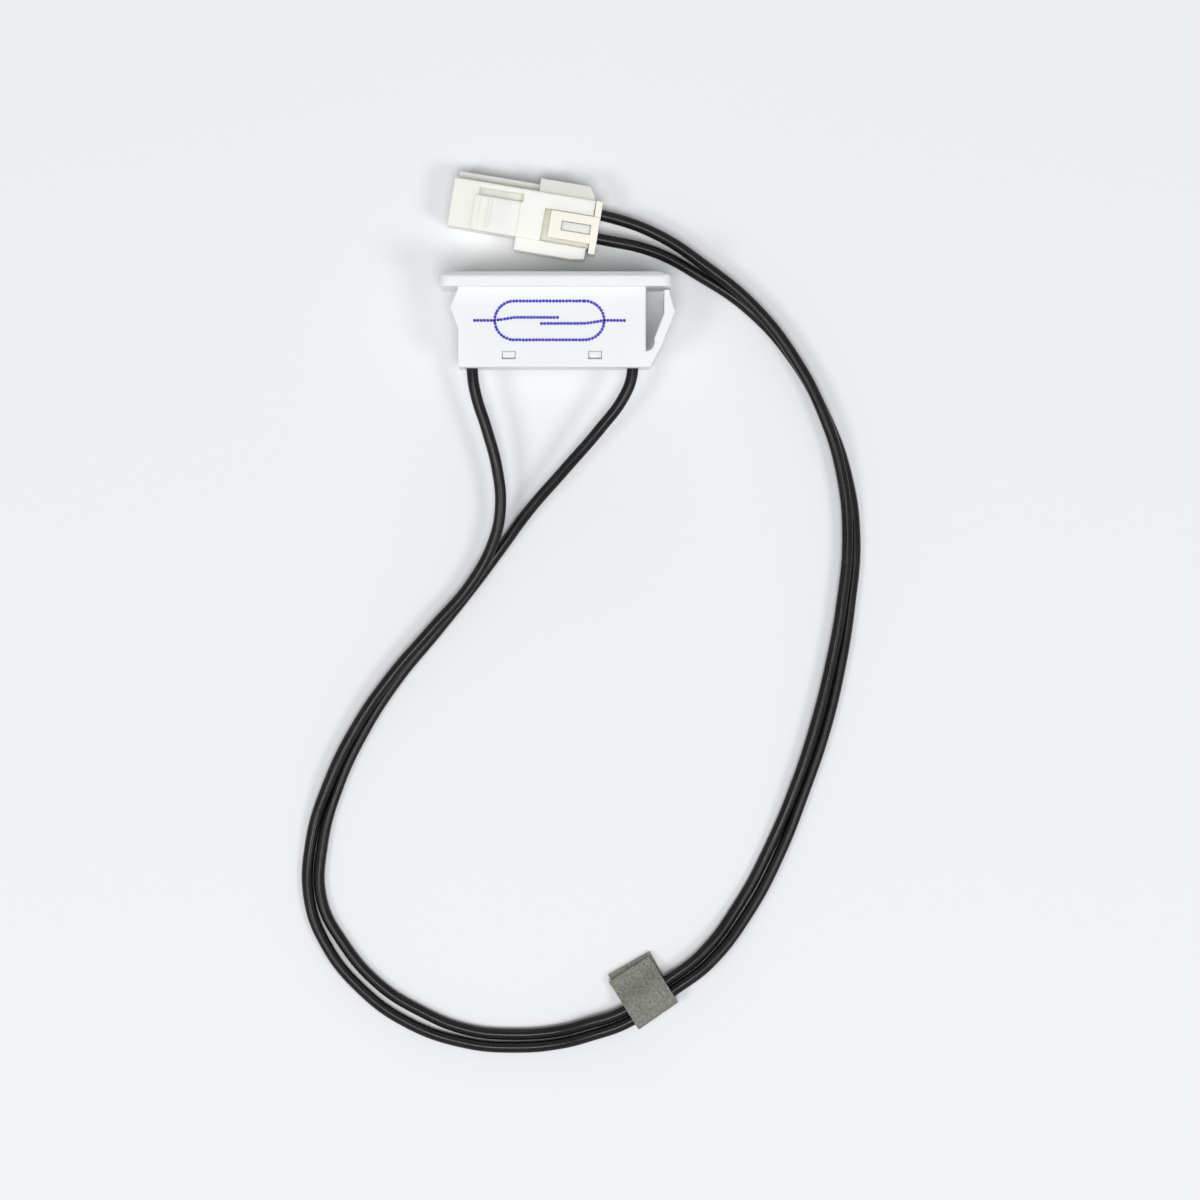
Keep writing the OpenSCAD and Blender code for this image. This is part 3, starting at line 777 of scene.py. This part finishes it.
@dataclass
class Studio:
    """A camera straight above, a pale floor, one large lamp high on the near side and weaker ones round it."""

    under_camera: Pair = (5.875, -38.98)
    camera_height: float = 700.0
    field: float = 169.3
    sensor: float = 36.0
    floor_side: float = 3000.0
    floor_drop: float = 0.02
    floor_colour: str = "#f2f3f5"
    floor_roughness: float = 0.9
    floor_shine: float = 0.1
    room_colour: str = "#f6f7fa"
    # What the room gives to dull surfaces, where the camera, metal and glass see it at full strength.
    sky: float = 0.26
    lamps: tuple[Softbox, ...] = (
        Softbox("near_softbox", (0, -360, 1560), 520, 10.85),
        Softbox("left_softbox", (-640, -400, 1000), 340, 3.05),
        Softbox("right_softbox", (650, -400, 1000), 340, 3.05),
        Softbox("far_softbox", (0, 760, 260), 320, 0.4),
    )

    def camera(self) -> None:
        """Puts the camera above the part, with the far side up in the picture."""
        lens = bpy.data.cameras.new("camera")
        lens.sensor_width = self.sensor
        lens.lens = self.sensor * self.camera_height / self.field
        eye = bpy.data.objects.new("camera", lens)
        eye.location = Vector((*self.under_camera, self.camera_height)) * MM
        bpy.context.scene.collection.objects.link(eye)
        bpy.context.scene.camera = eye

    def floor(self) -> None:
        """Lays a plain pale floor just under the part."""
        shape = bmesh.new()
        bmesh.ops.create_grid(shape, x_segments=1, y_segments=1, size=self.floor_side / 2 * MM)
        bmesh.ops.translate(shape, verts=shape.verts[:], vec=(0, 0, -self.floor_drop * MM))
        mesh = bpy.data.meshes.new("floor")
        shape.to_mesh(mesh)
        shape.free()
        paper = bpy.data.materials.new("pale_floor")
        paper.use_nodes = True
        skin = paper.node_tree.nodes["Principled BSDF"]
        skin.inputs["Base Color"].default_value = linear(self.floor_colour)
        skin.inputs["Roughness"].default_value = self.floor_roughness
        skin.inputs["Specular IOR Level"].default_value = self.floor_shine
        mesh.materials.append(paper)
        floor = bpy.data.objects.new("floor", mesh)
        bpy.context.scene.collection.objects.link(floor)

    def light(self) -> None:
        """Hangs the lamps, and lights the room so that it is white to the eye, in metal and in glass."""
        target = Vector((*self.under_camera, 0)) * MM
        for lamp in self.lamps:
            lamp.hang(target)
        world = bpy.data.worlds.new("room")
        world.use_nodes = True
        tree = world.node_tree
        tree.nodes.clear()
        rays = add_node(tree, "ShaderNodeLightPath", {}, {}).outputs
        mirrored = larger(tree, rays["Is Glossy Ray"], rays["Is Transmission Ray"])
        seen = larger(tree, rays["Is Camera Ray"], mirrored)
        strength = ranged(tree, seen, (0.0, 1.0), (self.sky, 1.0))
        sky = add_node(
            tree, "ShaderNodeBackground", {}, {"Color": linear(self.room_colour), "Strength": strength}
        )
        add_node(tree, "ShaderNodeOutputWorld", {}, {"Surface": sky.outputs["Background"]})
        bpy.context.scene.world = world
        bpy.context.scene.view_settings.view_transform = "Standard"


@dataclass
class Lead:
    """One insulated wire, from the crimp in the housing to the crimp in the connector."""

    node: str
    route: tuple[Point, ...]
    exit_mm: Point
    length: float
    diameter: float = 1.6
    round_steps: int = 6
    knot_steps: int = 10

    def build(self) -> bpy.types.Object:
        """Lays the wire along its route.

        Returns:
            The curve that stands for the node.
        """
        curve = bpy.data.curves.new(f"{self.node}_insulation", "CURVE")
        curve.dimensions = "3D"
        curve.bevel_depth = self.diameter / 2 * MM
        curve.bevel_resolution = self.round_steps
        curve.resolution_u = self.knot_steps
        curve.use_fill_caps = True
        spline = curve.splines.new("BEZIER")
        spline.bezier_points.add(len(self.route) - 1)
        for knot, place in zip(spline.bezier_points, self.route):
            knot.co = Vector(place) * MM
            knot.handle_left_type = knot.handle_right_type = "AUTO"
        curve.materials.append(BLACK_PVC.material())
        wire = bpy.data.objects.new(curve.name, curve)
        bpy.context.scene.collection.objects.link(wire)
        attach(wire, Body.SWITCH.value)
        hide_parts(self.node)
        LOG.info("%s: %d points", wire.name, len(self.route))
        return wire

    def declare(self, wire: bpy.types.Object, pieces: list[bpy.types.Object]) -> None:
        """Does nothing.

        Args:
            wire: the curve; not used.
            pieces: what is on it; not used.
        """


LEFT_LEAD = Lead(
    "left_wire",
    (
        (-11.93, -3.625, 6.5), (-11.93, -7.625, 6.5), (-11.4, -10.6, 6.3), (-10, -15, 5.9),
        (-8.5, -20.8, 5), (-8.1, -26, 4), (-9, -30.5, 3.2), (-12, -36.3, 2.5),
        (-17.7, -43, 2.4), (-23.4, -49.6, 2.2), (-28.4, -56.8, 1.9), (-32.3, -64.7, 1.7),
        (-34.85, -73, 0.92), (-35.05, -81.45, 0.8), (-32.6, -87.8, 0.8), (-28.2, -93.4, 0.8),
        (-21.5, -98.4, 0.8), (-13, -101.4, 0.8), (-6, -102, 0.8), (0, -101.5, 1),
        (4.6, -100.3, 1.5), (9.893, -98.371, 1.72), (16.373, -93.851, 1.72), (21.3, -90.1, 1.6),
        (27.02, -82.66, 1), (31.32, -74.46, 0.8), (34.66, -65.95, 0.8), (37.6, -57.3, 0.8),
        (39.7, -48.5, 0.8), (41.1, -39.5, 0.8), (41.8, -30.4, 0.8), (40.6, -21.4, 0.8),
        (37.5, -12.8, 0.8), (33, -4.9, 0.8), (27, 1.8, 1), (19.8, 6.7, 1.7),
        (13.6, 9.9, 2.6), (6.48, 11.573, 3.1), (0.71, 12.538, 3.1),
    ),
    (-11.93, -6.625, 6.5),
    285.0,
)
RIGHT_LEAD = Lead(
    "right_wire",
    (
        (10.33, -3.625, 6.5), (10.33, -7.625, 6.5), (9.2, -10.6, 6.3), (5.9, -15, 5.6),
        (1, -20.6, 4.2), (-4.2, -26.5, 2.4), (-7.9, -31.5, 1.2), (-11.7, -36.6, 0.86),
        (-17.2, -43.5, 0.8), (-22.7, -50.2, 0.8), (-27.4, -57.5, 0.8), (-31, -65.2, 0.8),
        (-33.22, -73.3, 0.8), (-33.35, -81.25, 0.8), (-30.4, -87.2, 0.8), (-25.2, -93.2, 0.8),
        (-19.6, -96.8, 0.8), (-13, -99.5, 0.8), (-6, -100.2, 0.8), (0, -99.7, 1),
        (4.2, -98.6, 1.5), (8.944, -97.009, 1.72), (15.423, -92.49, 1.72), (20.1, -88.9, 1.6),
        (25.58, -81.64, 1), (29.79, -73.74, 0.92), (33.35, -65.25, 1.5), (36.1, -56.9, 1.7),
        (38.3, -48.2, 1.8), (39.9, -39.4, 2), (40.7, -30.4, 2.1), (39.9, -21.5, 2.3),
        (37.3, -12.9, 2.5), (33.1, -4.8, 2.5), (27.5, 2.3, 2.6), (20.6, 8, 2.8),
        (14, 12.3, 3), (7.024, 14.828, 3.1), (1.255, 15.793, 3.1),
    ),
    (10.33, -6.625, 6.5),
    286.0,
)


@dataclass
class PrintedSymbol:
    """Ink-jet dots on the top of the body: the circuit symbol of an open reed contact in its capsule."""

    centre: Pair = (-1.14, -0.17)
    top: float = 11.2
    half_length: float = 10.4
    capsule_half: float = 7.6
    capsule_r: float = 2.7
    arc_steps: int = 18
    blade_gap: float = 0.42
    blade_overlap: float = 1.3
    pitch: float = 0.46
    dot: float = 0.46
    # Radius of a dot's top, as a share of the dot: ink domes a little.
    dot_crown: float = 1 / 2.6
    dot_sides: int = 12
    film: float = 0.012
    # How far a dot may lie off its place, and where in the noise the first dot and the next ones read it.
    drift: float = 0.03
    drift_row: Pair = (0.3, 0.9)
    drift_step: float = 1.7

    def strokes(self) -> list[list[Pair]]:
        """Lists the lines of the symbol.

        Returns:
            One list of points for each line, about the symbol's centre.
        """
        flat = self.capsule_half - self.capsule_r
        arc = [radians(90 - 180 * i / self.arc_steps) for i in range(self.arc_steps + 1)]
        right = [(flat + self.capsule_r * cos(a), self.capsule_r * sin(a)) for a in arc]
        left = [(-x, -y) for x, y in right]
        outline = [*right, *left, right[0]]
        blades = []
        for side in (-1, 1):
            rise = -side * self.blade_gap
            blades.append([(side * self.half_length, 0), (side * self.capsule_half, 0)])
            blades.append(
                [(side * self.capsule_half, 0), (side * flat, rise), (-side * self.blade_overlap, rise)]
            )
        return [outline, *blades]

    def dots(self) -> list[Pair]:
        """Spaces dots along the lines, each a little off its place as a sprayed drop is.

        Returns:
            The middles of the dots, in the frame.
        """
        places: list[Pair] = []
        for stroke in self.strokes():
            spare = 0.0
            for (x0, y0), (x1, y1) in zip(stroke, stroke[1:]):
                run = hypot(x1 - x0, y1 - y0)
                while spare < run:
                    share = spare / run
                    spot = Vector((len(places) * self.drift_step, *self.drift_row))
                    drift = Vector((noise.noise(spot), noise.noise(spot.zyx))) * self.drift
                    places.append(
                        (
                            self.centre[0] + x0 + share * (x1 - x0) + drift.x,
                            self.centre[1] + y0 + share * (y1 - y0) + drift.y,
                        )
                    )
                    spare += self.pitch
                spare -= run
        return places

    def build(self) -> bpy.types.Object:
        """Prints the dots on the body.

        Returns:
            The ink.
        """
        shape = bmesh.new()
        for x, y in self.dots():
            bmesh.ops.create_cone(
                shape,
                cap_ends=True,
                segments=self.dot_sides,
                radius1=self.dot / 2 * MM,
                radius2=self.dot * self.dot_crown * MM,
                depth=self.film * MM,
                matrix=Matrix.Translation(Vector((x, y, self.top + self.film / 2)) * MM),
            )
        return new_piece("printed_symbol", shape, VIOLET_INK, Body.SWITCH)


@dataclass
class SwitchHousing:
    """The white moulding that snaps into a panel, its rear cover, and the print on it."""

    edge_r: float = 0.14
    cover_edge_r: float = 0.08
    middle_z: float = 6.5
    # The hooks are all of the cover that lies further than hook_from above or below the middle.
    hook_from: float = 4.1
    hook_y: Pair = (-5.34, -4.48)
    hook_rise: Pair = (4.12, 4.68)

    def ramp_hooks(self, shape: bmesh.types.BMesh) -> None:
        """Slopes the four latch hooks, flush with the wall in front and low at the edge that holds.

        Args:
            shape: the rear cover's mesh, in metres.
        """
        rear, front = self.hook_y
        low, high = self.hook_rise
        for vert in shape.verts:
            out = vert.co.z / MM - self.middle_z
            if abs(out) > self.hook_from:
                share = (vert.co.y / MM - rear) / (front - rear)
                rise = low + share * (high - low)
                vert.co.z = (self.middle_z + (rise if out > 0 else -rise)) * MM

    def build(self, frame: Frame) -> None:
        """Builds the mouldings and the print.
        """
        softened(frame, "switch_housing", self.edge_r, WHITE_ABS)
        softened(frame, "rear_cover", self.cover_edge_r, WHITE_ABS, self.ramp_hooks)
        PrintedSymbol().build()


@dataclass
class ReedCapsule:
    """The glass capsule, its reeds, and the crimps that join it to the wires."""

    def build(self, frame: Frame) -> None:
        """Dresses what is closed in the housing.
        """
        dress(frame, CLEAR_GLASS, "glass_envelope")
        dress(frame, REED_ALLOY, "left_lead", "right_lead", "left_reed", "right_reed")
        dress(frame, TINNED_BRASS, "left_splice", "right_splice")
        dress(frame, BRIGHT_COPPER, "left_conductor", "right_conductor")


@dataclass
class FoamWrap:
    """A strip of foam that is folded round both wires and stuck to itself on the inside of the loop."""

    place: Pair = (11.8, -94.2)
    turn_deg: float = 34.9
    length: float = 6.7
    width: float = 8.4
    layer: float = 0.8
    # How far the upper end stays short of the lower one, the gap between the two, and their flat run.
    step: float = 0.6
    stuck_gap: float = 0.02
    stuck_run: float = 1.0
    wire_y: float = -1.5
    wire_gap: float = 1.66
    wire_z: float = 1.72
    fold_steps: int = 24
    slope_steps: int = 12
    # How the strip leans along the wires, at its lower and its upper end.
    lean: Pair = (0.094, 0.04)
    cell: float = 0.17
    rim_cuts: int = 5
    # An edge belongs to the rim if its length is this near to the strip's thickness, as a share of it.
    rim_slack: float = 0.3
    # Depth of the rough skin, and its coarse and fine waves: waves for each millimetre, and their shares.
    roughness: float = 0.035
    waves: tuple[Pair, Pair] = ((2.4, 1.0), (6.5, 0.6))
    sharp_deg: float = 60.0

    def outside(self) -> list[Pair]:
        """Traces the outside of the folded strip, from the end below to the end above.

        Returns:
            Points across the wires and up.
        """
        fold_y = self.wire_y - self.wire_gap / 2
        inner = fold_y - self.wire_z + self.width
        fold = [radians(270 - 180 * i / self.fold_steps) for i in range(self.fold_steps + 1)]
        arc = [(fold_y + self.wire_z * cos(a), self.wire_z + self.wire_z * sin(a)) for a in fold]
        high, low = 2 * self.wire_z, 2 * self.layer + self.stuck_gap
        start, end = fold_y + self.wire_gap, inner - self.step - self.stuck_run
        slope = []
        for i in range(self.slope_steps + 1):
            share = i / self.slope_steps
            slope.append((start + share * (end - start), high + eased(share) * (low - high)))
        return [(inner, 0.0), *arc, *slope, (inner - self.step, low)]

    def spaced(self) -> list[Pair]:
        """Spaces the traced line evenly, a cell apart.

        Returns:
            Points across the wires and up.
        """
        line = self.outside()
        runs = [hypot(b[0] - a[0], b[1] - a[1]) for a, b in zip(line, line[1:])]
        count = round(sum(runs) / self.cell)
        places, leg, passed = [], 0, 0.0
        for i in range(count + 1):
            along = sum(runs) * i / count
            while leg < len(runs) - 1 and passed + runs[leg] < along:
                passed += runs[leg]
                leg += 1
            share = (along - passed) / runs[leg]
            (y0, z0), (y1, z1) = line[leg], line[leg + 1]
            places.append((y0 + share * (y1 - y0), z0 + share * (z1 - z0)))
        return places

    def rolled(self) -> bmesh.types.BMesh:
        """Rolls a grid round the wires and thickens it.

        Returns:
            The strip in millimetres, along X and about its own place.
        """
        line = self.spaced()
        last = len(line) - 1
        fold = min(y for y, z in line)
        shape = bmesh.new()
        bmesh.ops.create_grid(shape, x_segments=round(self.length / self.cell), y_segments=last, size=0.5)
        for vert in shape.verts:
            at = round((vert.co.y + 0.5) * last)
            y, z = line[at]
            x = vert.co.x * self.length
            lean = self.lean[0] + (self.lean[1] - self.lean[0]) * at / last
            inward = (y - fold) / self.width
            vert.co = Vector((x + lean * inward * self.width, y - lean * x * inward, z))
        shape.normal_update()
        bmesh.ops.solidify(shape, geom=shape.faces[:], thickness=self.layer)
        return shape

    def roughen(self, shape: bmesh.types.BMesh) -> None:
        """Cuts up the strip's rim and roughens its skin.

        Args:
            shape: the strip, in millimetres.
        """
        slack = self.rim_slack * self.layer
        rim = [edge for edge in shape.edges if abs(edge.calc_length() - self.layer) < slack]
        bmesh.ops.subdivide_edges(shape, edges=rim, cuts=self.rim_cuts, use_grid_fill=True)
        shape.normal_update()
        for vert in shape.verts:
            rough = sum(share * noise.noise(vert.co * wave) for wave, share in self.waves)
            vert.co += vert.normal * (rough * self.roughness)
            vert.co.z = max(vert.co.z, 0.0)
        for face in shape.faces:
            face.smooth = True

    def build(self) -> bpy.types.Object:
        """Makes the strip and lays it on the wires.

        Returns:
            The foam.
        """
        shape = self.rolled()
        self.roughen(shape)
        shift = Matrix.Translation(Vector((*self.place, 0)) * MM)
        turn = shift @ Matrix.Rotation(radians(self.turn_deg), 4, "Z")
        bmesh.ops.transform(shape, matrix=turn @ Matrix.Scale(MM, 4), verts=shape.verts[:])
        foam = new_piece("foam_strip", shape, GREY_FOAM, Body.SWITCH, self.sharp_deg)
        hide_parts("foam_wrap")
        return foam


@dataclass
class Connector:
    """The two-way connector: nylon body, cream retainer and the pins in it."""

    edge_r: float = 0.1
    retainer_edge_r: float = 0.07

    def build(self, frame: Frame) -> list[bpy.types.Object]:
        """Builds the mouldings and dresses the pins.


        Returns:
            The body and the retainer.
        """
        body = softened(frame, "connector_housing", self.edge_r, NATURAL_NYLON)
        retainer = softened(frame, "connector_retainer", self.retainer_edge_r, CREAM_PBT)
        dress(frame, TINNED_BRASS, "upper_terminal", "lower_terminal")
        return [body, retainer]


def main() -> None:
    """Builds the studio and each sub-assembly in order."""
    logging.basicConfig(level=logging.INFO, format="%(name)s %(message)s")
    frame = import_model()
    studio = Studio()
    studio.camera()
    leads = [(lead, lead.build()) for lead in (LEFT_LEAD, RIGHT_LEAD)]
    connector = Connector().build(frame)
    foam = FoamWrap().build()
    for lead, wire in leads:
        lead.declare(wire, [*connector, foam])
    SwitchHousing().build(frame)
    ReedCapsule().build(frame)
    studio.floor()
    studio.light()


if __name__ == "__main__":
    main()
